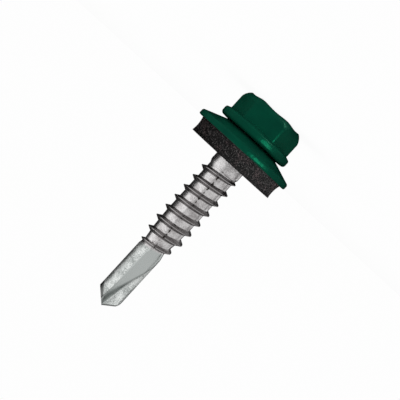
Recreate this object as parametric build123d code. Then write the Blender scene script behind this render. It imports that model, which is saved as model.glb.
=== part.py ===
from build123d import *
from math import ceil, cos, pi, radians, sin, sqrt, tan
import os

os.makedirs("parts", exist_ok=True)

# Self drilling roofing screw: hexagon washer head, drill point, and a captive
# dished steel washer with a rubber sealing ring bonded under it.
# Each piece is drawn head up, with the drill point at the origin, +Z towards the
# head and -Y to the front. At the end every piece is turned over about Y, so that
# the screw stands on its head with the origin under it. Millimetres and degrees.

# Head
head_height = 4.82
hex_across_flats = 8.85
hex_corner_radius = 0.4
hex_turn = -3.3
hex_rim_round = 0.85
crown_radius = 2.2
crown_depth = 1.8
crown_sweep = 53.0
top_land_radius = 4.15
dish_radius = 4.08
dish_floor_radius = 3.85
dish_depth = 0.45
flange_diameter = 11.4
flange_edge = 1.15
flange_round = 0.3
flange_under_round = 0.45
flange_slope = 20.0

# Shank, with heights measured up from the point and drops down from the seat
shank_length = 30.16
neck_diameter = 4.7
neck_foot_drop = 5.96
neck_step = 0.5
core_diameter = 4.26
core_taper_length = 5.7
swell_diameter = 3.96
swell_rise = 2.9
waist_diameter = 3.42
waist_rise = 1.0

# Thread, right handed
thread_diameter = 5.5
thread_pitch = 1.814
flank_angle = 60.0
crest_flat = 0.1
foot_depth = 0.15
thread_start_rise = 0.15
lead_slope = 1.1
entry_length = 3.35
entry_slope = 0.215
runout_drop = 6.86
runout_slope = 0.23
thread_end_drop = 4.71
crest_phase = 0.61
steps_per_turn = 10

# Drill point
drill_diameter = 3.85
drill_length = 9.7
facet_angle = 90.0
chisel_turn = 14.5
flute_length = 8.0
valley_round = 0.2

# Flute sections from past the point to the fade: height as a share of the flute's
# length, the ridge's angle from the front, the valley's place as shares of the
# drill's radius, and the margin's angle from the front.
flute_stations = [
    (-0.11, -24.6, -0.03, -0.125, 57.3),
    (0.11, -22.6, 0.08, -0.19, 57.3),
    (0.45, -13.8, 0.32, -0.385, 56.8),
    (0.78, -9.9, 0.53, -0.61, 53.1),
    (1.0, -9.0, 0.60, -0.73, 44.9),
    (1.38, -9.0, 0.60, -0.765, 44.9),
]

# Steel washer
washer_diameter = 15.45
washer_sheet = 0.9
washer_hole = 5.1
washer_flat_diameter = 8.5
washer_slope = 19.9
washer_edge_round = 0.34
washer_under_round = 0.22
washer_play = 0.05

# Sealing ring
ring_top_diameter = 14.1
ring_waist_diameter = 13.62
ring_foot_diameter = 13.8
ring_foot_drop = 4.36
ring_waist_share = 0.4
ring_bore_play = 0.05

# Heights that follow
seat = shank_length
top = shank_length + head_height
waist_height = drill_length + waist_rise
swell_height = drill_length + swell_rise
core_height = drill_length + core_taper_length
neck_foot = seat - neck_foot_drop
thread_start = drill_length + thread_start_rise
thread_full_from = thread_start + entry_length
thread_full_to = seat - runout_drop
thread_end = seat - thread_end_drop
ring_foot = seat - ring_foot_drop

# Radii and slopes that follow
thread_radius = thread_diameter / 2
core_radius = core_diameter / 2
swell_radius = swell_diameter / 2
waist_radius = waist_diameter / 2
neck_radius = neck_diameter / 2
drill_radius = drill_diameter / 2
foot_radius = waist_radius - foot_depth
washer_radius = washer_diameter / 2
washer_flat_radius = washer_flat_diameter / 2
flank_tan = tan(radians(flank_angle / 2))
washer_tan = tan(radians(washer_slope))
tool_reach = thread_diameter


def at(radius, height):
    """Return the point at a radius and height in the XZ plane."""
    return Vector(radius, 0, height)


def chain(*points):
    """Return the straight edges that join the points in order."""
    return [Edge.make_line(a, b) for a, b in zip(points, points[1:])]


def turned(*profile):
    """Return the solid that a closed profile in the XZ plane sweeps about Z."""
    return Solid.revolve(Face(Wire(profile)), 360, Axis.Z)


def eased(before, corner, after, radius):
    """Return the corner's rounding as three points, which two fine bevels join."""
    back = (before - corner).normalized()
    on = (after - corner).normalized()
    half = back.get_angle(on) / 2
    run = radius / tan(radians(half))
    inset = radius / sin(radians(half)) - radius
    return [corner + back * run, corner + (back + on).normalized() * inset, corner + on * run]


def hexagon():
    """Return the hexagon with rounded corners, crowned ends and a dished top."""
    foot = seat + flange_edge / 2
    outline = RegularPolygon(hex_across_flats / 2, 6, major_radius=False, rotation=hex_turn)
    prism = extrude(Pos(0, 0, foot) * outline, top - foot)
    prism = fillet(prism.edges().filter_by(Axis.Z), hex_corner_radius)
    prism = fillet(prism.faces().sort_by(Axis.Z)[-1].edges(), hex_rim_round)

    corner_radius = hex_across_flats / sqrt(3)
    crown_foot = top - crown_depth

    def on_crown(angle):
        """Return the point of the crown's arc at an angle above its foot."""
        turn = radians(angle)
        inset = crown_radius * (1 - cos(turn))
        return at(corner_radius - inset, crown_foot + crown_radius * sin(turn))

    crown = turned(
        *chain(at(top_land_radius, top), at(0, top), at(0, foot), at(corner_radius, foot), on_crown(0)),
        Edge.make_three_point_arc(on_crown(0), on_crown(crown_sweep / 2), on_crown(crown_sweep)),
        Edge.make_line(on_crown(crown_sweep), at(top_land_radius, top)),
    )
    dish = turned(
        *chain(
            at(0, top - dish_depth),
            at(dish_floor_radius, top - dish_depth),
            at(dish_radius, top),
            at(0, top),
            at(0, top - dish_depth),
        )
    )
    return (prism & crown) - dish


def flange():
    """Return the round flange, rounded at its edge and coned up to the hexagon."""
    outer = flange_diameter / 2
    inner = hex_across_flats / 4
    shoulder = seat + flange_edge
    peak = shoulder + (outer - inner) * tan(radians(flange_slope))
    under = at(outer, seat)
    over = at(outer, shoulder)
    peak_edge = at(inner, peak)
    outline = [
        at(0, seat),
        *eased(at(0, seat), under, over, flange_under_round),
        *eased(under, over, peak_edge, flange_round),
        peak_edge,
        at(0, peak),
        at(0, seat),
    ]
    return turned(*chain(*outline))


def point_waste():
    """Return what comes off the blank's end to leave the two facets of the point."""
    slope = tool_reach / tan(radians(facet_angle / 2))
    outline = [
        at(-tool_reach, slope),
        at(0, 0),
        at(tool_reach, slope),
        at(tool_reach, -tool_reach),
        at(-tool_reach, -tool_reach),
        at(-tool_reach, slope),
    ]
    waste = extrude(Face(Wire(chain(*outline))), tool_reach, both=True, dir=(0, 1, 0))
    return Rot(0, 0, chisel_turn) * waste


def on_drill(angle):
    """Return the point of the drill's outline at an angle from the front."""
    return Vector(drill_radius * sin(radians(angle)), -drill_radius * cos(radians(angle)))


def flute():
    """Return the front flute's cutter: one wall to the ridge, one to the margin."""
    sections = []
    for share, ridge_angle, valley_x, valley_y, margin_angle in flute_stations:
        valley = Vector(valley_x * drill_radius, valley_y * drill_radius)
        ridge = on_drill(ridge_angle)
        margin = on_drill(margin_angle)
        past_ridge = ridge + (ridge - valley).normalized() * drill_radius / 2
        past_margin = margin + (margin - valley).normalized() * drill_radius / 2
        front_left = Vector(past_ridge.X, -tool_reach)
        front_right = Vector(past_margin.X, -tool_reach)
        outline = Polyline(valley, past_margin, front_right, front_left, past_ridge, close=True)
        section = make_face(outline.edges())
        corner = section.vertices().sort_by_distance(valley)[0]
        sections.append(Pos(0, 0, share * flute_length) * fillet(corner, valley_round))
    return loft(sections)


def blank():
    """Return the shank without its thread: neck, core, waist and fluted drill point."""
    bar = turned(
        *chain(
            at(0, 0),
            at(drill_radius, 0),
            at(drill_radius, drill_length),
            at(waist_radius, waist_height),
            at(swell_radius, swell_height),
            at(core_radius, core_height),
            at(core_radius, neck_foot),
            at(neck_radius, neck_foot + neck_step),
            at(neck_radius, seat + flange_edge / 2),
            at(0, seat + flange_edge / 2),
            at(0, 0),
        )
    )
    front_flute = flute()
    return bar - point_waste() - front_flute - Rot(0, 0, 180) * front_flute


def crest_radius(height):
    """Return the crest's radius at a height: quick lead, slow entry, full, run out."""
    lead = foot_radius + foot_depth / 3 + (height - thread_start) * lead_slope
    entry = thread_radius - (thread_full_from - height) * entry_slope
    runout = thread_radius - (height - thread_full_to) * runout_slope
    return min(lead, entry, thread_radius, runout)


def rib_corners(height):
    """Return the four corners of the thread's section, foot low to foot high."""
    # The crest crosses the -X side crest_phase above the start, and every pitch up.
    angle = pi + 2 * pi * (height - thread_start - crest_phase) / thread_pitch
    crest = crest_radius(height)
    crest_half = crest_flat / 2
    foot_half = crest_half + (crest - foot_radius) * flank_tan
    corners = [(foot_radius, -foot_half), (crest, -crest_half), (crest, crest_half), (foot_radius, foot_half)]
    return [(r * cos(angle), r * sin(angle), height + rise) for r, rise in corners]


def rib_span(low, high):
    """Return the helical rib from one height to another, at most a turn of it."""
    steps = ceil(steps_per_turn * (high - low) / thread_pitch)
    rows = [rib_corners(low + (high - low) * step / steps) for step in range(steps + 1)]
    edges = [Edge.make_spline([row[corner] for row in rows]) for corner in range(4)]
    sides = [Face.make_surface_from_curves(a, b) for a, b in zip(edges, edges[1:] + edges[:1])]
    caps = [Face(Wire.make_polygon(row)) for row in (rows[0], rows[-1])]
    return Solid(Shell(sides + caps))


def thread():
    """Return the rib's spans, a turn each, with their foot sunk in the core."""
    turns = ceil((thread_end - thread_start) / thread_pitch)
    ends = [min(thread_start + thread_pitch * turn, thread_end) for turn in range(turns + 1)]
    return [rib_span(low, high) for low, high in zip(ends, ends[1:])]


def screw():
    """Return the screw, forged and rolled in one piece."""
    return blank().fuse(*thread(), flange(), hexagon())


def washer_under(radius):
    """Return the height of the steel washer's underside at a radius."""
    return seat - washer_play - washer_sheet - max(radius - washer_flat_radius, 0) * washer_tan


def metal_washer():
    """Return the dished steel washer, flat under the flange and coned to its edge."""
    bore = washer_hole / 2
    under_edge = at(washer_radius, washer_under(washer_radius))
    over_edge = under_edge + at(0, washer_sheet)
    under_bend = at(washer_flat_radius, washer_under(0))
    over_bend = under_bend + at(0, washer_sheet)
    outline = [
        at(bore, washer_under(0)),
        under_bend,
        *eased(under_bend, under_edge, over_edge, washer_under_round),
        *eased(under_edge, over_edge, over_bend, washer_edge_round),
        over_bend,
        at(bore, washer_under(0) + washer_sheet),
        at(bore, washer_under(0)),
    ]
    return turned(*chain(*outline))


def sealing_ring():
    """Return the rubber ring, bonded to the washer's underside and waisted outside."""
    bore = neck_radius + ring_bore_play
    crown = ring_top_diameter / 2
    foot = ring_foot_diameter / 2
    shoulder = washer_under(crown)
    waist = at(ring_waist_diameter / 2, ring_foot + (shoulder - ring_foot) * ring_waist_share)
    outline = [
        at(bore, ring_foot),
        at(foot, ring_foot),
        waist,
        at(crown, shoulder),
        at(washer_flat_radius, washer_under(0)),
        at(bore, washer_under(0)),
        at(bore, ring_foot),
    ]
    return turned(*chain(*outline))


def stand(piece):
    """Return the piece turned over, so that the screw stands on its head."""
    return Pos(0, 0, top) * Rot(0, 180, 0) * piece


for name, piece in {"screw": screw(), "metal_washer": metal_washer(), "sealing_ring": sealing_ring()}.items():
    export_step(stand(piece), f"parts/{name}.step")
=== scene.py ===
"""A self drilling roofing screw that stands on its painted hexagon head.

The head and the dished washer are painted green, the shank is zinc plated, and a ring
of black rubber is bonded under the washer. Sizes are in millimetres, the scene is in
metres, and +Z runs from the head to the drill point.
"""

import logging
from collections.abc import Callable
from dataclasses import dataclass, field
from enum import Enum
from math import atan2, cos, degrees, pi, radians, sin, sqrt, tan

import bmesh
import bpy
from mathutils import Matrix, Vector

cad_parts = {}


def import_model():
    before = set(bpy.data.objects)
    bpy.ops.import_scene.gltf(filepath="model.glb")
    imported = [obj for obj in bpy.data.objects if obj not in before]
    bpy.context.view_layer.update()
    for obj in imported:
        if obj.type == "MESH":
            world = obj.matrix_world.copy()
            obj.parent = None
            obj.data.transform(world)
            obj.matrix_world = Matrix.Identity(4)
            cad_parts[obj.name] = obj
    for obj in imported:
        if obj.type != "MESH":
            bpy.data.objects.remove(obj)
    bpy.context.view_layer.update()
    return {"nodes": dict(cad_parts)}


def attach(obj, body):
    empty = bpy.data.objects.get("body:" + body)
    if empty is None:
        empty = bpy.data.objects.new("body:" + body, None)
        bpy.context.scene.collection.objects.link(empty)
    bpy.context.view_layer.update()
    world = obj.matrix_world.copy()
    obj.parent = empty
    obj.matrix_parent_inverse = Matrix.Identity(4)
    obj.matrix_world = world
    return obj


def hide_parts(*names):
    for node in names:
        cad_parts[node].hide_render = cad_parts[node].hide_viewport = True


MM = 0.001
SEAT = 4.82
TOUCH = 1e-7
UPRIGHT = 0.1
SAME_TURN = 0.01
HEX_STEP = 60.0
ROUND_STEPS = 6
LOG = logging.getLogger("screw")
Colour = tuple[float, float, float, float]
Point = tuple[float, float]
Place = tuple[float, float, float]
Term = bpy.types.Node | bpy.types.NodeSocket | float | Colour
FALL: Point = (1.0, 0.0)


class Body(Enum):
    """The moving bodies that the pieces ride on."""

    SCREW = "screw"
    WASHER = "washer"


class Slot(Enum):
    """The finishes that the record names."""

    ZINC = "zinc_plated_steel"
    PAINT = "green_paint"
    RUBBER = "sealing_rubber"


class Join(Enum):
    """How a tool's solid is joined to a piece."""

    KEEP_SHARED = "INTERSECT"
    ADD = "UNION"
    CUT = "DIFFERENCE"


class Part(Enum):
    """What is picked in edit mode, as the operator and as the mesh call it."""

    VERTS = ("VERT", "verts")
    EDGES = ("EDGE", "edges")


class Kind(Enum):
    """The kinds of node that are used, each with its settings."""

    ADD = ("ShaderNodeMath", {"operation": "ADD"})
    SUBTRACT = ("ShaderNodeMath", {"operation": "SUBTRACT"})
    MULTIPLY = ("ShaderNodeMath", {"operation": "MULTIPLY"})
    DIVIDE = ("ShaderNodeMath", {"operation": "DIVIDE"})
    MULTIPLY_ADD = ("ShaderNodeMath", {"operation": "MULTIPLY_ADD"})
    MAXIMUM = ("ShaderNodeMath", {"operation": "MAXIMUM"})
    SQRT = ("ShaderNodeMath", {"operation": "SQRT"})
    SIGN = ("ShaderNodeMath", {"operation": "SIGN"})
    ABSOLUTE = ("ShaderNodeMath", {"operation": "ABSOLUTE"})
    ARCTAN2 = ("ShaderNodeMath", {"operation": "ARCTAN2"})
    EVEN_RANGE = ("ShaderNodeMapRange", {"interpolation_type": "LINEAR"})
    SOFT_RANGE = ("ShaderNodeMapRange", {"interpolation_type": "SMOOTHSTEP"})
    COORDINATES = ("ShaderNodeTexCoord", {})
    SCALE = ("ShaderNodeVectorMath", {"operation": "SCALE"})
    SPLIT = ("ShaderNodeSeparateXYZ", {})
    NOISE = ("ShaderNodeTexNoise", {})
    MIX = ("ShaderNodeMix", {"data_type": "RGBA"})
    BUMP = ("ShaderNodeBump", {})
    PRINCIPLED = ("ShaderNodeBsdfPrincipled", {})
    DIFFUSE = ("ShaderNodeBsdfDiffuse", {})
    EMISSION = ("ShaderNodeEmission", {})
    BACKGROUND = ("ShaderNodeBackground", {})
    MIX_SHADERS = ("ShaderNodeMixShader", {})
    LIGHT_PATH = ("ShaderNodeLightPath", {})
    MATERIAL_OUTPUT = ("ShaderNodeOutputMaterial", {})
    WORLD_OUTPUT = ("ShaderNodeOutputWorld", {})


def srgb(code: str) -> Colour:
    """Turn an sRGB hex colour into linear values.

    Args:
        code: six hex digits.

    Returns:
        Linear red, green and blue, and an alpha of 1.
    """
    values = [int(code[i : i + 2], 16) / 255 for i in (0, 2, 4)]
    linear = [v / 12.92 if v <= 0.04045 else ((v + 0.055) / 1.055) ** 2.4 for v in values]
    return (linear[0], linear[1], linear[2], 1.0)


def grey(level: float) -> Colour:
    """Return a neutral colour of a linear level."""
    return (level, level, level, 1.0)


class Nodes:
    """The nodes of a material or a world that is being built."""

    def __init__(self, owner: bpy.types.Material | bpy.types.World) -> None:
        """Start with no nodes.

        Args:
            owner: the material or the world.
        """
        owner.use_nodes = True
        self.tree = owner.node_tree
        self.tree.nodes.clear()

    def add(self, kind: Kind, *terms: Term, named: dict[str, Term] | None = None) -> bpy.types.Node:
        """Add one node with its settings and links.

        Args:
            kind: the kind of node, with its settings.
            terms: what its inputs get, in their order. A number or a colour is set, a
                socket is linked, and a node is linked by the first output in use.
            named: what more inputs get, by their names.

        Returns:
            The new node.
        """
        type_name, settings = kind.value
        node = self.tree.nodes.new(type_name)
        for name, setting in settings.items():
            setattr(node, name, setting)
        shown = [socket for socket in node.inputs if socket.enabled]
        given = list(zip(shown, terms))
        given += [(node.inputs[name], term) for name, term in (named or {}).items()]
        for socket, term in given:
            if isinstance(term, bpy.types.Node):
                term = next(output for output in term.outputs if output.enabled)
            if isinstance(term, bpy.types.NodeSocket):
                self.tree.links.new(term, socket)
            else:
                socket.default_value = term
        return node

    def place(self) -> bpy.types.Node:
        """Return the place on the object, in millimetres."""
        return self.add(Kind.SCALE, self.add(Kind.COORDINATES).outputs["Object"], 1 / MM)


@dataclass(frozen=True)
class Where:
    """Where a point of the screw's surface lies, in millimetres.

    Right is the distance to the right of the axis, as seen from the side that the
    point is on, so that it is the same on both flutes.
    """

    place: Term
    x: Term
    y: Term
    z: Term
    radius: Term
    right: Term

    @classmethod
    def on(cls, nodes: Nodes) -> "Where":
        """Work the place out from the object's coordinates.

        Args:
            nodes: the nodes of the material.

        Returns:
            The place in all its forms.
        """
        place = nodes.place()
        x, y, z = nodes.add(Kind.SPLIT, place).outputs
        squares = nodes.add(Kind.MULTIPLY_ADD, y, y, nodes.add(Kind.MULTIPLY, x, x))
        side = nodes.add(Kind.SIGN, nodes.add(Kind.MULTIPLY, y, -1))
        right = nodes.add(Kind.MULTIPLY, nodes.add(Kind.MULTIPLY, x, -1), side)
        return cls(place, x, y, z, nodes.add(Kind.SQRT, squares), right)


@dataclass(frozen=True)
class ZincPlate:
    """Bright zinc electroplate over rolled and forged steel.

    The eye sees a pale grey metal with glinting specks, duller on the thread's flanks,
    partly for the rolled finish and partly as painted shade in the grooves, with
    painted shade on the crests, and with dark spots, most of them along a painted dark
    reflection that runs down the front. The drill point is bluer, with one smooth wall
    in each flute, painted shade in the valley beside it and painted shade on the
    cutting lips and the tip's lower outline. The plate's real grain is far finer than
    a tenth of a millimetre, and its specks are drawn as coarse as they need to show.

    A pair is the start and the end of a change. Layers are the finer noises laid over
    a coarse one, and a noise's strength is how much they count.
    """

    name: str = "zinc_plate"
    bright: str = "E8E6E6"
    dull: str = "AAA6A6"
    # Duller rolled finish and painted shade in the thread's grooves.
    flank_dull_and_shade: str = "ABA8A8"
    # Painted shade on the thread's crests, which dims their reflection.
    crest_shade: str = "A9A6A6"
    # Random dark spots, and a painted dark reflection in a line down the front.
    spot_and_shade: str = "4A4542"
    forged_bright: str = "F0F3F1"
    forged_dull: str = "A6ABA9"
    wall: str = "C8CDCB"
    crease_shade: str = "5C615F"
    # Painted shade on the cutting lips and the tip's lower outline.
    edge: str = "747675"
    grazing_tint: float = 0.3

    speck_mm: float = 0.16
    speck_layers: float = 3.0
    speck_strength: float = 0.6
    cloud_mm: float = 1.4
    cloud_layers: float = 2.0
    cloud_share: float = 0.5
    plain_tones: Point = (0.38, 0.58)
    forged_tones: Point = (0.4, 0.58)

    flank_mm: Point = (2.16, 2.3)
    crest_mm: Point = (2.68, 2.71)
    neck_mm: Point = (10.28, 10.78)
    neck_more_mm: float = 0.22
    taper_mm: Point = (21.0, 24.3)
    taper_less_mm: float = 0.3

    spot_mm: float = 0.5
    spot_layers: float = 2.0
    spot_strength: float = 0.6
    spot_levels: Point = (0.68, 0.74)
    # A line down the front, facing the camera, whose spots paint a dark reflection.
    shade_line_turn: float = 3.0
    shade_line_width: float = 7.0
    shade_line_more: float = 0.17

    drill_mm: Point = (24.55, 24.7)
    drill_slant: float = -0.18
    flute_mm: Point = (25.3, 25.4)
    land_mm: Point = (1.88, 1.9)
    wall_facing: Point = (0.35, 0.45)
    ridge_mm: Point = (-0.45, -0.39)
    valley_mm: float = 32.65
    valley_blur_mm: float = 0.1
    valley_rise: float = 3.36
    crease_share: float = 0.6
    crease_along_mm: Point = (27.0, 34.0)
    crease_width_mm: Point = (0.6, 2.0)
    lip_mm: Point = (34.03, 34.13)
    lip_rise: float = 1.03
    lip_right_mm: Point = (-0.6, -0.5)
    rim_mm: Point = (34.71, 34.81)
    rim_rise: float = 0.8

    rough_specks: Point = (0.35, 0.65)
    rough: Point = (0.36, 0.22)
    forged_rough: float = 0.12
    wave_mm: float = 0.7
    wave_layers: float = 1.0
    wave_height: float = 3.0
    wall_smooth: float = 0.85
    bump_strength: float = 0.4
    bump_mm: float = 0.02

    def on_drill(self, nodes: Nodes, at: Where) -> Term:
        """Tell the drill point from the thread, whose end runs aslant.

        Args:
            nodes: the nodes of the material.
            at: the place on the screw.

        Returns:
            1 on the drill point and 0 on the rest.
        """
        slanted = nodes.add(Kind.MULTIPLY_ADD, at.x, self.drill_slant, at.z)
        return nodes.add(Kind.SOFT_RANGE, slanted, *self.drill_mm)

    def on_wall(self, nodes: Nodes, at: Where, beyond: Term, ridge: Term) -> Term:
        """Tell the smooth wall of each flute from its other wall and the lands.

        Args:
            nodes: the nodes of the material.
            at: the place on the screw.
            beyond: how far the place is beyond the valley, on its slanted scale.
            ridge: 1 to the right of the ridge between wall and land, and 0 to its left.

        Returns:
            1 on the smooth walls and 0 on the rest.
        """
        facing = nodes.add(Kind.SPLIT, nodes.add(Kind.COORDINATES).outputs["Normal"]).outputs
        with_turn = nodes.add(Kind.MULTIPLY, at.x, facing["Y"])
        against = nodes.add(Kind.MULTIPLY, at.y, facing["X"])
        turned = nodes.add(Kind.DIVIDE, nodes.add(Kind.SUBTRACT, with_turn, against), at.radius)
        inside = nodes.add(Kind.SOFT_RANGE, at.radius, *self.land_mm, *FALL)
        aside = nodes.add(Kind.SOFT_RANGE, turned, *self.wall_facing, *FALL)
        fluted = nodes.add(Kind.SOFT_RANGE, at.z, *self.flute_mm)
        wall = nodes.add(Kind.MULTIPLY, nodes.add(Kind.MULTIPLY, inside, aside), fluted)
        blur = self.valley_blur_mm
        under = nodes.add(Kind.SOFT_RANGE, beyond, -blur, blur, *FALL)
        return nodes.add(Kind.MAXIMUM, wall, nodes.add(Kind.MULTIPLY, under, ridge))

    def on_shaded_edges(self, nodes: Nodes, at: Where) -> Term:
        """Tell the cutting lips and the tip's lower outline, which get painted shade, from the rest.

        Args:
            nodes: the nodes of the material.
            at: the place on the screw.

        Returns:
            1 along these edges and 0 elsewhere.
        """
        lip = nodes.add(Kind.MULTIPLY_ADD, at.right, -self.lip_rise, at.z)
        lip = nodes.add(Kind.SOFT_RANGE, lip, *self.lip_mm)
        left = nodes.add(Kind.SOFT_RANGE, at.right, *self.lip_right_mm, *FALL)
        rim = nodes.add(Kind.MULTIPLY_ADD, at.right, self.rim_rise, at.z)
        rim = nodes.add(Kind.SOFT_RANGE, rim, *self.rim_mm)
        return nodes.add(Kind.MAXIMUM, nodes.add(Kind.MULTIPLY, lip, left), rim)

    def in_crease(self, nodes: Nodes, at: Where, beyond: Term) -> Term:
        """Paint shade into the valley between a flute's walls, wider towards the tip.

        Args:
            nodes: the nodes of the material.
            at: the place on the screw.
            beyond: how far the place is beyond the valley, on its slanted scale.

        Returns:
            The share of the painted shade.
        """
        off_valley = nodes.add(Kind.ABSOLUTE, beyond)
        width = nodes.add(Kind.SOFT_RANGE, at.z, *self.crease_along_mm, *self.crease_width_mm)
        near = nodes.add(Kind.DIVIDE, off_valley, width)
        return nodes.add(Kind.SOFT_RANGE, near, 0.0, 1.0, self.crease_share, 0.0)

    def on_core(self, nodes: Nodes, at: Where) -> Term:
        """Work out how far a place stands out, as if the core were even all along.

        Args:
            nodes: the nodes of the material.
            at: the place on the screw.

        Returns:
            The distance from the axis, less what the neck is thicker, and with what the
            core tapers added.
        """
        neck = nodes.add(Kind.SOFT_RANGE, at.z, *self.neck_mm, self.neck_more_mm, 0.0)
        taper = nodes.add(Kind.SOFT_RANGE, at.z, *self.taper_mm, 0.0, self.taper_less_mm)
        return nodes.add(Kind.ADD, nodes.add(Kind.SUBTRACT, at.radius, neck), taper)

    def in_spots_and_shade_line(self, nodes: Nodes, at: Where) -> Term:
        """Scatter dark spots in the plate, most of them in a painted dark line down the front.

        Args:
            nodes: the nodes of the material.
            at: the place on the screw.

        Returns:
            1 in the spots and 0 between them.
        """
        across = nodes.add(Kind.MULTIPLY, at.x, -1)
        ahead = nodes.add(Kind.MULTIPLY, at.y, -1)
        angle = nodes.add(Kind.ARCTAN2, across, ahead)
        # The line faces the camera, and its spots are a painted dark reflection.
        off_shade_line = nodes.add(Kind.ABSOLUTE, nodes.add(Kind.SUBTRACT, angle, radians(self.shade_line_turn)))
        shade_line = nodes.add(Kind.SOFT_RANGE, off_shade_line, 0.0, radians(self.shade_line_width), self.shade_line_more, 0.0)
        noise = nodes.add(Kind.NOISE, at.place, 1 / self.spot_mm, self.spot_layers, self.spot_strength)
        return nodes.add(Kind.SOFT_RANGE, nodes.add(Kind.ADD, noise, shade_line), *self.spot_levels)

    def rolled(self, nodes: Nodes, at: Where, tone: Term) -> Term:
        """Colour the neck, the thread and its core, with painted shade on the thread's flanks and
        crests.

        Args:
            nodes: the nodes of the material.
            at: the place on the screw.
            tone: the plate's own pattern.

        Returns:
            The colour.
        """
        pale = nodes.add(Kind.EVEN_RANGE, tone, *self.plain_tones)
        colour = nodes.add(Kind.MIX, pale, srgb(self.dull), srgb(self.bright))
        on_flank = nodes.add(Kind.SOFT_RANGE, self.on_core(nodes, at), *self.flank_mm)
        # Flanks: partly their duller rolled finish, partly painted shade in the grooves.
        colour = nodes.add(Kind.MIX, on_flank, colour, srgb(self.flank_dull_and_shade))
        # Painted shade on the crests, which dims their bright reflected line.
        on_crest = nodes.add(Kind.SOFT_RANGE, at.radius, *self.crest_mm)
        colour = nodes.add(Kind.MIX, on_crest, colour, srgb(self.crest_shade))
        return nodes.add(Kind.MIX, self.in_spots_and_shade_line(nodes, at), colour, srgb(self.spot_and_shade))

    def build(self) -> bpy.types.Material:
        """Make the plate's material.

        Returns:
            The material.
        """
        material = bpy.data.materials.new(self.name)
        nodes = Nodes(material)
        at = Where.on(nodes)
        speck_scale = 1 / self.speck_mm
        speck = nodes.add(Kind.NOISE, at.place, speck_scale, self.speck_layers, self.speck_strength)
        cloud = nodes.add(Kind.NOISE, at.place, 1 / self.cloud_mm, self.cloud_layers)
        fine = nodes.add(Kind.MULTIPLY, speck, 1 - self.cloud_share)
        tone = nodes.add(Kind.MULTIPLY_ADD, cloud, self.cloud_share, fine)

        drill = self.on_drill(nodes, at)
        beyond = nodes.add(Kind.MULTIPLY_ADD, at.right, self.valley_rise, at.z)
        beyond = nodes.add(Kind.SUBTRACT, beyond, self.valley_mm)
        ridge = nodes.add(Kind.SOFT_RANGE, at.right, *self.ridge_mm)
        wall = nodes.add(Kind.MULTIPLY, self.on_wall(nodes, at, beyond, ridge), drill)
        pale = nodes.add(Kind.EVEN_RANGE, tone, *self.forged_tones)
        forged = nodes.add(Kind.MIX, pale, srgb(self.forged_dull), srgb(self.forged_bright))
        forged = nodes.add(Kind.MIX, wall, forged, srgb(self.wall))
        # Painted shade in the valley between the flute's walls.
        crease_shade = nodes.add(Kind.MULTIPLY, self.in_crease(nodes, at, beyond), ridge)
        forged = nodes.add(Kind.MIX, crease_shade, forged, srgb(self.crease_shade))
        # Painted shade on the cutting lips and the tip's lower outline.
        forged = nodes.add(Kind.MIX, self.on_shaded_edges(nodes, at), forged, srgb(self.edge))
        colour = nodes.add(Kind.MIX, drill, self.rolled(nodes, at, tone), forged)

        wave = nodes.add(Kind.NOISE, at.place, 1 / self.wave_mm, self.wave_layers)
        wave = nodes.add(Kind.MULTIPLY, wave, nodes.add(Kind.MULTIPLY, drill, self.wave_height))
        uneven = nodes.add(Kind.MULTIPLY_ADD, wall, -self.wall_smooth, 1)
        height = nodes.add(Kind.MULTIPLY, nodes.add(Kind.ADD, speck, wave), uneven)
        rough = nodes.add(Kind.SOFT_RANGE, speck, *self.rough_specks, *self.rough)
        more = nodes.add(Kind.MULTIPLY_ADD, wall, -self.forged_rough, self.forged_rough)
        bump = {"Strength": self.bump_strength, "Distance": self.bump_mm * MM, "Height": height}
        shine = {
            "Base Color": colour,
            "Metallic": 1.0,
            "Roughness": nodes.add(Kind.MULTIPLY_ADD, drill, more, rough),
            "Specular Tint": grey(self.grazing_tint),
            "Normal": nodes.add(Kind.BUMP, named=bump),
        }
        nodes.add(Kind.MATERIAL_OUTPUT, nodes.add(Kind.PRINCIPLED, named=shine))
        return material


@dataclass(frozen=True)
class PowderPaint:
    """Polyester powder paint, sprayed and baked on.

    The eye sees a deep, even green with a soft gloss, which a faint orange peel breaks.
    """

    name: str = "green_powder_paint"
    colour: str = "084836"
    shade: str = "084132"
    shine: str = "2CFFB8"
    shine_level: float = 0.12
    rough: float = 0.31
    ior: float = 1.5
    cloud_mm: float = 2.5
    cloud_tones: Point = (0.35, 0.65)
    cloud_layers: float = 2.0
    peel_mm: float = 0.35
    peel_layers: float = 1.0
    peel_strength: float = 0.8
    peel_depth_mm: float = 0.035

    def build(self) -> bpy.types.Material:
        """Make the paint's material.

        Returns:
            The material.
        """
        material = bpy.data.materials.new(self.name)
        nodes = Nodes(material)
        place = nodes.place()
        cloud = nodes.add(Kind.NOISE, place, 1 / self.cloud_mm, self.cloud_layers)
        full = nodes.add(Kind.EVEN_RANGE, cloud, *self.cloud_tones)
        peel = nodes.add(Kind.NOISE, place, 1 / self.peel_mm, self.peel_layers)
        bump = {"Strength": self.peel_strength, "Distance": self.peel_depth_mm * MM, "Height": peel}
        shine = {
            "Base Color": nodes.add(Kind.MIX, full, srgb(self.shade), srgb(self.colour)),
            "Roughness": self.rough,
            "IOR": self.ior,
            "Specular IOR Level": self.shine_level,
            "Specular Tint": srgb(self.shine),
            "Normal": nodes.add(Kind.BUMP, named=bump),
        }
        nodes.add(Kind.MATERIAL_OUTPUT, nodes.add(Kind.PRINCIPLED, named=shine))
        return material


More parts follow.
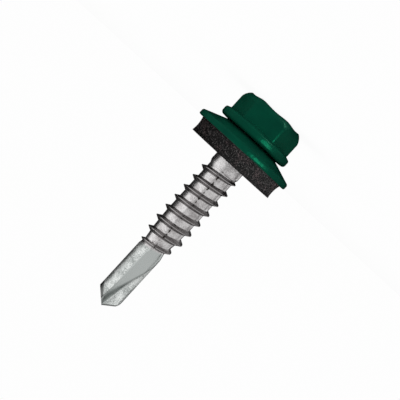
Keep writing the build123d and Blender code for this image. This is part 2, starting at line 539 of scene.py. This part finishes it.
@dataclass(frozen=True)
class SealingRubber:
    """Black EPDM rubber, moulded.

    The eye sees a matt, granular black, dusted with paler and reddish specks, which are
    fewer in a band along the foot. The real dust is finer, and is drawn as coarse as it
    needs to show.
    """

    name: str = "sealing_rubber"
    colour: str = "080808"
    speck: str = "686464"
    red_speck: str = "6E5F60"
    grain_mm: float = 0.17
    grain_layers: float = 4.0
    grain_strength: float = 0.7
    grain_share: float = 0.96
    cloud_mm: float = 1.1
    cloud_layers: float = 2.0
    cloud_share: float = 0.14
    red_clouds: Point = (0.45, 0.6)
    dusted: Point = (0.52, 0.74)
    skin_mm: Point = (8.58, 8.93)
    skin_dust: float = 0.4
    foot_mm: Point = (9.1, 9.17)
    rough: float = 0.7
    ior: float = 1.5
    shine_level: float = 0.2
    bump_strength: float = 1.0
    bump_mm: float = 0.15

    def build(self) -> bpy.types.Material:
        """Make the rubber's material.

        Returns:
            The material.
        """
        material = bpy.data.materials.new(self.name)
        nodes = Nodes(material)
        place = nodes.place()
        grain_scale = 1 / self.grain_mm
        fine = nodes.add(Kind.NOISE, place, grain_scale, self.grain_layers, self.grain_strength)
        cloud = nodes.add(Kind.NOISE, place, 1 / self.cloud_mm, self.cloud_layers)
        reds = nodes.add(Kind.SOFT_RANGE, cloud, *self.red_clouds)
        dust = nodes.add(Kind.MIX, reds, srgb(self.speck), srgb(self.red_speck))
        grain = nodes.add(Kind.MULTIPLY, fine, self.grain_share)
        grain = nodes.add(Kind.MULTIPLY_ADD, cloud, self.cloud_share, grain)
        height = nodes.add(Kind.SPLIT, place).outputs["Z"]
        skin = nodes.add(Kind.SOFT_RANGE, height, *self.skin_mm, 1.0, self.skin_dust)
        foot = nodes.add(Kind.SOFT_RANGE, height, *self.foot_mm)
        dusted = nodes.add(Kind.SOFT_RANGE, grain, *self.dusted)
        share = nodes.add(Kind.MULTIPLY, dusted, nodes.add(Kind.MAXIMUM, skin, foot))
        bump = {"Strength": self.bump_strength, "Distance": self.bump_mm * MM, "Height": fine}
        shine = {
            "Base Color": nodes.add(Kind.MIX, share, srgb(self.colour), dust),
            "Roughness": self.rough,
            "IOR": self.ior,
            "Specular IOR Level": self.shine_level,
            "Normal": nodes.add(Kind.BUMP, named=bump),
        }
        nodes.add(Kind.MATERIAL_OUTPUT, nodes.add(Kind.PRINCIPLED, named=shine))
        return material


def deselect() -> None:
    """Deselect every object, so that an operator acts only on what comes next."""
    bpy.ops.object.select_all(action="DESELECT")


def select(piece: bpy.types.Object) -> None:
    """Select one piece alone, so that an operator acts only on it.

    Args:
        piece: the piece.
    """
    deselect()
    piece.select_set(True)
    bpy.context.view_layer.objects.active = piece


def edit(piece: bpy.types.Object, part: Part = Part.VERTS) -> None:
    """Open one piece in edit mode with nothing selected in it.

    Args:
        piece: the piece to shape.
        part: what is to be picked.
    """
    select(piece)
    bpy.ops.object.mode_set(mode="EDIT")
    bpy.ops.mesh.select_mode(type=part.value[0])
    bpy.ops.mesh.select_all(action="DESELECT")


def pick(piece: bpy.types.Object, part: Part, test: Callable[[object], bool]) -> None:
    """Select what passes a test in the piece that is open in edit mode.

    Args:
        piece: the piece that is open.
        part: what is picked.
        test: whether one of them is wanted.
    """
    mesh = bmesh.from_edit_mesh(piece.data)
    for item in getattr(mesh, part.value[1]):
        if test(item):
            item.select = True
    mesh.select_flush_mode()
    bmesh.update_edit_mesh(piece.data)


def close_edit() -> None:
    """Leave edit mode."""
    bpy.ops.object.mode_set(mode="OBJECT")


def settle(piece: bpy.types.Object) -> None:
    """Put the piece's place and turn into its mesh."""
    select(piece)
    bpy.ops.object.transform_apply(location=True, rotation=True, scale=True)


def apply(piece: bpy.types.Object, kind: str, settings: dict[str, object]) -> None:
    """Add one modifier to a piece and apply it.

    Args:
        piece: the piece.
        kind: the modifier's type.
        settings: its properties.
    """
    modifier = piece.modifiers.new(kind.lower(), kind)
    for name, value in settings.items():
        setattr(modifier, name, value)
    select(piece)
    bpy.ops.object.modifier_apply(modifier=modifier.name)


def join_tool(piece: bpy.types.Object, tool: bpy.types.Object, how: Join) -> None:
    """Join a tool's solid to a piece and remove the tool.

    Args:
        piece: the piece that is changed.
        tool: the solid that shapes it.
        how: whether it is cut, added or only the shared space is kept.
    """
    apply(piece, "BOOLEAN", {"operation": how.value, "solver": "EXACT", "object": tool})
    bpy.data.meshes.remove(tool.data)


def smooth(piece: bpy.types.Object, angle: float) -> None:
    """Shade a piece smooth across edges that turn by less than an angle in degrees."""
    select(piece)
    bpy.ops.object.shade_smooth_by_angle(angle=radians(angle))


def corner_marks(mesh: bpy.types.Mesh) -> list[tuple[tuple[int, ...], Vector]]:
    """Mark each face corner, so that it is known again in a merged and cut copy.

    Args:
        mesh: the mesh.

    Returns:
        For each corner, what tells it from the others, and its plain normal: away
        from the axis if the face stands upright, and none if not.
    """
    marks = []
    for face in mesh.polygons:
        upright = abs(face.normal.z) < UPRIGHT
        for loop in face.loop_indices:
            place = mesh.vertices[mesh.loops[loop].vertex_index].co
            mark = tuple(round(value / TOUCH) for value in (*face.center, *place))
            marks.append((mark, place.xy.to_3d().normalized() if upright else Vector()))
    return marks


def keep_normals(source: bpy.types.Mesh, target: bpy.types.Mesh) -> None:
    """Give each face corner of a mesh the true normal that its source has there.

    Args:
        source: the mesh with the true normals.
        target: its merged and cut copy, where a face that the cut made new gets its
            plain normal.
    """
    corners = zip(corner_marks(source), source.corner_normals)
    known = {mark: item.vector.copy() for (mark, _), item in corners}
    normals = [known.get(mark, plain) for mark, plain in corner_marks(target)]
    target.normals_split_custom_set(normals)


def spun(
    name: str, outline: list[Point], steps: int, rounds: dict[int, float] | None = None
) -> bpy.types.Object:
    """Spin an outline about the screw's axis.

    Args:
        name: the new piece's name.
        outline: radius and height of each corner, in millimetres, in order. It is
            closed from the last to the first.
        steps: how many steps make the turn.
        rounds: the radius of the corners that are rounded, by their number.

    Returns:
        The closed solid.
    """
    deselect()
    bpy.ops.mesh.primitive_circle_add(vertices=len(outline), fill_type="NGON")
    piece = bpy.context.active_object
    piece.name = name
    piece.data.name = name
    corners = [Vector((radius * MM, 0, height * MM)) for radius, height in outline]
    for vertex, corner in zip(piece.data.vertices, corners):
        vertex.co = corner
    edit(piece)
    for number, radius in (rounds or {}).items():
        corner = corners[number]
        before = corners[number - 1] - corner
        after = corners[(number + 1) % len(corners)] - corner
        run = radius * MM / tan(before.angle(after) / 2)
        bpy.ops.mesh.select_all(action="DESELECT")
        pick(piece, Part.VERTS, lambda v: (v.co - corner).length < TOUCH)
        bpy.ops.mesh.bevel(
            offset=run, segments=ROUND_STEPS, affect="VERTICES", clamp_overlap=False
        )
    bpy.ops.mesh.select_all(action="SELECT")
    bpy.ops.mesh.delete(type="ONLY_FACE")
    bpy.ops.mesh.select_all(action="SELECT")
    bpy.ops.mesh.spin(steps=steps, angle=2 * pi, center=(0, 0, 0), axis=(0, 0, 1))
    bpy.ops.mesh.select_all(action="SELECT")
    bpy.ops.mesh.remove_doubles(threshold=TOUCH)
    bpy.ops.mesh.normals_make_consistent(inside=False)
    close_edit()
    return piece


def light_only(light: bpy.types.Object, names: tuple[str, ...]) -> None:
    """Let a light reach only some pieces.

    Args:
        light: the lamp or the glowing card.
        names: the pieces that it lights.
    """
    reached = bpy.data.collections.new(f"{light.name}_lights")
    for name in names:
        reached.objects.link(bpy.data.objects[name])
    light.light_linking.receiver_collection = reached


def fit(
    piece: bpy.types.Object, material: bpy.types.Material, body: Body, stands_for: str
) -> None:
    """Dress a piece, hang it on its body and let it stand for its CAD node.

    Args:
        piece: the finished piece.
        material: its finish.
        body: the body that it moves with.
        stands_for: the node that it replaces.
    """
    piece.data.materials.clear()
    piece.data.materials.append(material)
    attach(piece, body.value)
    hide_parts(stands_for)
    LOG.info("%s: %d faces", piece.name, len(piece.data.polygons))


@dataclass
class Head:
    """The forged hexagon head with its round flange, crowned corners and dished top."""

    height: float = SEAT
    across_flats: float = 8.85
    corner_radius: float = 0.4
    corner_steps: int = 5
    turn: float = 3.3
    rim_round: float = 0.85
    rim_steps: int = 6
    crown_radius: float = 2.2
    crown_depth: float = 1.8
    crown_sweep: float = 53.0
    crown_steps: int = 12
    top_land_radius: float = 4.15
    dish_radius: float = 4.08
    dish_floor_radius: float = 3.85
    dish_depth: float = 0.45
    flange_diameter: float = 11.4
    flange_edge: float = 1.15
    flange_round: float = 0.3
    flange_under_round: float = 0.45
    flange_slope: float = 20.0
    flange_core_radius: float = 1.0
    turned_steps: int = 144
    dish_steps: int = 96
    smooth_angle: float = 32.0

    @property
    def reach(self) -> float:
        """Return how far the hexagon's corners are from the axis."""
        return self.across_flats / sqrt(3)

    def prism(self) -> bpy.types.Object:
        """Make the hexagon with its upright corners and its rim rounded.

        Returns:
            The hexagon's solid, which becomes the head.
        """
        foot = self.height - self.flange_edge / 2
        deselect()
        bpy.ops.mesh.primitive_cylinder_add(
            vertices=6,
            radius=self.reach * MM,
            depth=foot * MM,
            location=(0, 0, foot / 2 * MM),
            rotation=(0, 0, radians(self.turn - HEX_STEP / 2)),
        )
        piece = bpy.context.active_object
        piece.name = "hex_head"
        piece.data.name = "hex_head"
        settle(piece)
        edit(piece, Part.EDGES)
        pick(piece, Part.EDGES, lambda e: all(v.co.z < TOUCH for v in e.verts))
        bpy.ops.mesh.bevel(offset=self.rim_round * MM, segments=self.rim_steps, affect="EDGES")
        bpy.ops.mesh.select_all(action="DESELECT")
        pick(piece, Part.EDGES, self.on_corner)
        run = self.corner_radius * MM * tan(radians(HEX_STEP / 2))
        bpy.ops.mesh.bevel(
            offset=run, segments=self.corner_steps, affect="EDGES", clamp_overlap=False
        )
        close_edit()
        return piece

    def on_corner(self, edge: bmesh.types.BMEdge) -> bool:
        """Tell the edges that run up the hexagon's corners.

        Args:
            edge: an edge of the hexagon.

        Returns:
            Whether it is one of them.
        """
        first, second = (vertex.co for vertex in edge.verts)
        if abs(first.z - second.z) < TOUCH:
            return False
        turns = [(degrees(atan2(co.y, co.x)) - self.turn) % HEX_STEP for co in (first, second)]
        return all(min(turn, HEX_STEP - turn) < SAME_TURN for turn in turns)

    def crown(self) -> bpy.types.Object:
        """Make the turned form that the hexagon's ends are forged to.

        Returns:
            Its solid.
        """
        outline = [(0, 0), (self.top_land_radius, 0)]
        for step in range(self.crown_steps, -1, -1):
            turn = radians(self.crown_sweep) * step / self.crown_steps
            radius = self.reach - self.crown_radius * (1 - cos(turn))
            outline.append((radius, self.crown_depth - self.crown_radius * sin(turn)))
        outline += [(self.reach, self.height), (0, self.height)]
        return spun("crown", outline, self.turned_steps)

    def dish(self) -> bpy.types.Object:
        """Make the shallow hollow of the head's top.

        Returns:
            Its solid.
        """
        outline = [
            (0, self.dish_depth),
            (0, -self.dish_depth),
            (self.dish_radius, -self.dish_depth),
            (self.dish_radius, 0),
            (self.dish_floor_radius, self.dish_depth),
        ]
        return spun("dish", outline, self.dish_steps)

    def flange(self) -> bpy.types.Object:
        """Make the round flange, rounded at its edge and coned up to the hexagon.

        Returns:
            Its solid.
        """
        outer = self.flange_diameter / 2
        core = self.flange_core_radius
        shoulder = self.height - self.flange_edge
        peak = shoulder - (outer - core) * tan(radians(self.flange_slope))
        outline = [
            (0, self.height),
            (outer, self.height),
            (outer, shoulder),
            (core, peak),
            (0, peak),
        ]
        rounds = {1: self.flange_under_round, 2: self.flange_round}
        return spun("flange", outline, self.turned_steps, rounds)

    def build(self, paint: bpy.types.Material) -> None:
        """Forge the head and paint it.

        Args:
            paint: the green finish.
        """
        piece = self.prism()
        join_tool(piece, self.crown(), Join.KEEP_SHARED)
        join_tool(piece, self.dish(), Join.CUT)
        join_tool(piece, self.flange(), Join.ADD)
        smooth(piece, self.smooth_angle)
        fit(piece, paint, Body.SCREW, "screw")


@dataclass
class Shank:
    """The rolled and forged shank: neck, thread and drill point, as the CAD model has it."""

    seat: float = SEAT
    clear: float = 0.01

    def build(self, node: bpy.types.Object, plate: bpy.types.Material) -> None:
        """Part the shank from the head at the seat, and plate it.

        Args:
            node: the CAD screw, whose mesh is copied.
            plate: the zinc finish.
        """
        piece = bpy.data.objects.new("threaded_shank", node.data.copy())
        piece.data.name = "threaded_shank"
        bpy.context.collection.objects.link(piece)
        edit(piece)
        bpy.ops.mesh.select_all(action="SELECT")
        bpy.ops.mesh.remove_doubles(threshold=TOUCH)
        bpy.ops.mesh.select_all(action="SELECT")
        bpy.ops.mesh.bisect(
            plane_co=(0, 0, (self.seat + self.clear) * MM),
            plane_no=(0, 0, 1),
            use_fill=True,
            clear_inner=True,
            threshold=TOUCH,
        )
        close_edit()
        keep_normals(node.data, piece.data)
        fit(piece, plate, Body.SCREW, "screw")


@dataclass
class Washer:
    """The dished steel washer, painted like the head."""

    seat: float = SEAT
    play: float = 0.05
    sheet: float = 0.9
    hole: float = 5.1
    diameter: float = 15.45
    flat_diameter: float = 8.5
    slope: float = 19.9
    edge_round: float = 0.34
    under_round: float = 0.22
    bend: float = 0.8
    steps: int = 160
    smooth_angle: float = 30.0

    def under(self, radius: float) -> float:
        """Return the height of the side that bears the rubber, at a radius."""
        drop = max(radius - self.flat_diameter / 2, 0) * tan(radians(self.slope))
        return self.seat + self.play + self.sheet + drop

    def build(self, paint: bpy.types.Material) -> None:
        """Press the washer and paint it.

        Args:
            paint: the green finish.
        """
        bore = self.hole / 2
        flat = self.flat_diameter / 2
        rim = self.diameter / 2
        outline = [
            (bore, self.under(bore)),
            (flat, self.under(flat)),
            (rim, self.under(rim)),
            (rim, self.under(rim) - self.sheet),
            (flat, self.under(flat) - self.sheet),
            (bore, self.under(bore) - self.sheet),
        ]
        rounds = {1: self.bend, 2: self.under_round, 3: self.edge_round, 4: self.bend}
        piece = spun("dished_washer", outline, self.steps, rounds)
        smooth(piece, self.smooth_angle)
        fit(piece, paint, Body.WASHER, "metal_washer")


@dataclass
class SealRing:
    """The moulded rubber ring, bonded under the washer and a little waisted outside."""

    washer: Washer = field(default_factory=Washer)
    neck_diameter: float = 4.7
    bore_play: float = 0.05
    top_diameter: float = 14.1
    waist_diameter: float = 13.62
    foot_diameter: float = 13.8
    foot_drop: float = 4.36
    waist_share: float = 0.4
    wall_steps: int = 14
    steps: int = 256
    smooth_angle: float = 40.0

    def wall(self) -> list[Point]:
        """Draw the outer wall, a little waisted.

        Returns:
            Its points from the foot to the washer.
        """
        foot = (self.foot_diameter / 2, self.washer.seat + self.foot_drop)
        top = (self.top_diameter / 2, self.washer.under(self.top_diameter / 2))
        waist = self.waist_diameter / 2
        chord = foot[0] + (top[0] - foot[0]) * self.waist_share
        bow = (chord - waist) / (self.waist_share * (1 - self.waist_share))
        points = []
        for step in range(self.wall_steps + 1):
            share = step / self.wall_steps
            straight = foot[0] + (top[0] - foot[0]) * share
            hollow = bow * share * (1 - share)
            points.append((straight - hollow, foot[1] + (top[1] - foot[1]) * share))
        return points

    def build(self, rubber: bpy.types.Material) -> None:
        """Mould the ring with its granular skin.

        Args:
            rubber: the rubber's finish.
        """
        bore = self.neck_diameter / 2 + self.bore_play
        flat = self.washer.flat_diameter / 2
        foot = self.washer.seat + self.foot_drop
        outline = [
            (bore, foot),
            *self.wall(),
            (flat, self.washer.under(flat)),
            (bore, self.washer.under(bore)),
        ]
        piece = spun("rubber_ring", outline, self.steps)
        smooth(piece, self.smooth_angle)
        fit(piece, rubber, Body.WASHER, "sealing_ring")


@dataclass(frozen=True)
class Lamp:
    """One soft lamp that faces the middle of the screw.

    Its place and size are in millimetres and its power in watts. It lights only the
    pieces that it names, or all of them if it names none.
    """

    name: str
    place: Place
    size: Point
    power: float
    pieces: tuple[str, ...] = ()
    diffuse: bool = True
    glossy: bool = True
    aim_height: float = 17.0

    def build(self) -> None:
        """Hang the lamp."""
        data = bpy.data.lights.new(self.name, "AREA")
        data.shape = "RECTANGLE"
        data.size = self.size[0] * MM
        data.size_y = self.size[1] * MM
        data.energy = self.power
        lamp = bpy.data.objects.new(self.name, data)
        lamp.location = Vector(self.place) * MM
        aim = Vector((0, 0, self.aim_height * MM)) - lamp.location
        lamp.rotation_euler = aim.to_track_quat("-Z", "Y").to_euler()
        bpy.context.collection.objects.link(lamp)
        lamp.visible_diffuse = self.diffuse
        lamp.visible_glossy = self.glossy
        if self.pieces:
            light_only(lamp, self.pieces)


@dataclass
class Studio:
    """The pale floor, the soft lamps, the cards that the plate reflects, and the camera.

    A zone is a stretch of the cards, given by the turn in degrees at which it ends and
    by its linear level of grey. Turns are counted from the front, to the right of the
    screw as it is seen head up.
    """

    distance: float = 110.0
    height: float = 8.15
    view_width: float = 54.12
    sensor: float = 36.0
    nearest: float = 5.0
    shift_x: float = -0.088
    shift_y: float = -0.105
    axis_right: float = 0.6756
    axis_up: float = 0.7373

    floor_size: float = 1200.0
    floor_level: float = 0.93
    floor_seen_white: float = 0.95
    floor_bounced_white: float = 0.5
    world_level: float = 0.5
    world_seen_level: float = 0.987

    wall_radius: float = 300.0
    wall_span: Point = (-300.0, 450.0)
    wall_steps: int = 90
    drill_from: float = 71.0
    ends: Point = (0.35, 0.12)
    zones: tuple[Point, ...] = (
        (-84.0, 0.02),
        (-12.0, 1.0),
        (2.0, 0.35),
        (100.0, 0.68),
        (118.0, 0.15),
        (150.0, 1.0),
        (180.0, 0.03),
    )
    drill_zones: tuple[Point, ...] = (
        (-104.0, 0.02),
        (-12.0, 1.0),
        (2.0, 0.45),
        (100.0, 0.68),
        (118.0, 0.5),
        (134.0, 1.0),
        (180.0, 0.03),
    )
    lamps: tuple[Lamp, ...] = (
        Lamp(
            name="key",
            place=(-88.0, -121.0, 10.0),
            size=(80.0, 36.0),
            power=0.28,
            pieces=("hex_head", "dished_washer", "rubber_ring"),
            diffuse=False,
        ),
        Lamp(
            name="crown",
            place=(-61.0, -44.0, -130.0),
            size=(36.0, 50.0),
            power=0.15,
            pieces=("hex_head",),
            diffuse=False,
        ),
        Lamp(name="top", place=(0.0, 0.0, 350.0), size=(300.0, 300.0), power=0.5),
        Lamp(
            name="fill",
            place=(50.0, -125.0, -60.0),
            size=(100.0, 100.0),
            power=0.05,
            pieces=("hex_head", "dished_washer"),
            glossy=False,
        ),
        Lamp(
            name="side",
            place=(-135.0, -35.0, 15.0),
            size=(100.0, 100.0),
            power=0.11,
            pieces=("rubber_ring",),
            glossy=False,
        ),
    )

    def camera(self) -> None:
        """Level the camera with the washer and roll it, so that the head is at the upper right."""
        data = bpy.data.cameras.new("camera")
        data.sensor_width = self.sensor
        data.lens = self.sensor * self.distance / self.view_width
        data.shift_x = self.shift_x
        data.shift_y = self.shift_y
        data.clip_start = self.nearest * MM
        camera = bpy.data.objects.new("camera", data)
        right = Vector((-self.axis_up, 0, -self.axis_right))
        up = Vector((self.axis_right, 0, -self.axis_up))
        turn = Matrix((right, up, right.cross(up))).transposed()
        place = Matrix.Translation((0, -self.distance * MM, self.height * MM))
        camera.matrix_world = place @ turn.to_4x4()
        bpy.context.collection.objects.link(camera)
        bpy.context.scene.camera = camera

    def floor(self) -> None:
        """Lay the plain pale floor, which keeps the screw's shadow.

        The camera sees it mostly white, light that bounces finds it half white, and
        reflections don't show it.
        """
        deselect()
        bpy.ops.mesh.primitive_plane_add(size=self.floor_size * MM)
        floor = bpy.context.active_object
        floor.name = "floor"
        material = bpy.data.materials.new("pale_floor")
        nodes = Nodes(material)
        path = nodes.add(Kind.LIGHT_PATH).outputs
        seen = nodes.add(Kind.MULTIPLY, path["Is Camera Ray"], self.floor_seen_white)
        bounced = path["Is Diffuse Ray"]
        share = nodes.add(Kind.MULTIPLY_ADD, bounced, self.floor_bounced_white, seen)
        pale = nodes.add(Kind.DIFFUSE, grey(self.floor_level))
        white = nodes.add(Kind.EMISSION, grey(1.0))
        nodes.add(Kind.MATERIAL_OUTPUT, nodes.add(Kind.MIX_SHADERS, share, pale, white))
        floor.data.materials.append(material)
        floor.visible_glossy = False
        floor.visible_shadow = False

    def card_number(self, face: bpy.types.MeshPolygon) -> int:
        """Find the card that a face of the wall belongs to.

        Args:
            face: the face.

        Returns:
            Its number among the thread's zones, the drill point's zones and the two
            ends, in this order.
        """
        if len(face.vertices) == self.wall_steps:
            return len(self.zones) + len(self.drill_zones) + (face.center.z > 0)
        angle = degrees(atan2(-face.center.x, -face.center.y))
        upper = face.center.z > self.drill_from * MM
        row = self.drill_zones if upper else self.zones
        zone = next(number for number, (last, _) in enumerate(row) if angle <= last)
        return zone + upper * len(self.zones)

    def cards(self) -> None:
        """Stand a round wall of glowing cards about the screw, which only its plate sees.

        The left side and the far right are dark, the near right is grey, and between
        them are white gaps, as in the plate's reflections. The lower row is for the
        thread and the upper row for the drill point. Light linking keeps them off the
        paint and the rubber.
        """
        low, high = (edge * MM for edge in self.wall_span)
        deselect()
        bpy.ops.mesh.primitive_cylinder_add(
            vertices=self.wall_steps,
            radius=self.wall_radius * MM,
            depth=high - low,
            end_fill_type="NGON",
            location=(0, 0, (low + high) / 2),
        )
        wall = bpy.context.active_object
        wall.name = "cards"
        settle(wall)
        edit(wall)
        bpy.ops.mesh.select_all(action="SELECT")
        bpy.ops.mesh.bisect(plane_co=(0, 0, self.drill_from * MM), plane_no=(0, 0, 1))
        close_edit()
        levels = [level for _, level in (*self.zones, *self.drill_zones)] + list(self.ends)
        for number, level in enumerate(levels):
            material = bpy.data.materials.new(f"card_{number}")
            nodes = Nodes(material)
            nodes.add(Kind.MATERIAL_OUTPUT, nodes.add(Kind.EMISSION, grey(level)))
            wall.data.materials.append(material)
        for face in wall.data.polygons:
            face.material_index = self.card_number(face)
        wall.visible_camera = False
        wall.visible_diffuse = False
        wall.visible_transmission = False
        wall.visible_shadow = False
        light_only(wall, ("threaded_shank",))

    def world(self) -> None:
        """Light the scene softly, and show near white to the camera and in reflections."""
        world = bpy.data.worlds.new("studio")
        nodes = Nodes(world)
        path = nodes.add(Kind.LIGHT_PATH).outputs
        seen = nodes.add(Kind.MAXIMUM, path["Is Camera Ray"], path["Is Glossy Ray"])
        seen = nodes.add(Kind.MAXIMUM, seen, path["Is Transmission Ray"])
        fill = nodes.add(Kind.BACKGROUND, grey(1.0), self.world_level)
        white = nodes.add(Kind.BACKGROUND, grey(self.world_seen_level), 1.0)
        nodes.add(Kind.WORLD_OUTPUT, nodes.add(Kind.MIX_SHADERS, seen, fill, white))
        bpy.context.scene.world = world

    def build(self) -> None:
        """Set up the whole studio."""
        bpy.context.scene.view_settings.view_transform = "Standard"
        self.camera()
        self.floor()
        self.cards()
        self.world()
        for lamp in self.lamps:
            lamp.build()
        LOG.info("studio: ready")


def main() -> None:
    """Load the frame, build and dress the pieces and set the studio."""
    logging.basicConfig(level=logging.INFO)
    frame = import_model()
    paint = PowderPaint().build()
    Head().build(paint)
    Shank().build(frame["nodes"]["screw"], ZincPlate().build())
    Washer().build(paint)
    SealRing().build(SealingRubber().build())
    Studio().build()


if __name__ == "__main__":
    main()
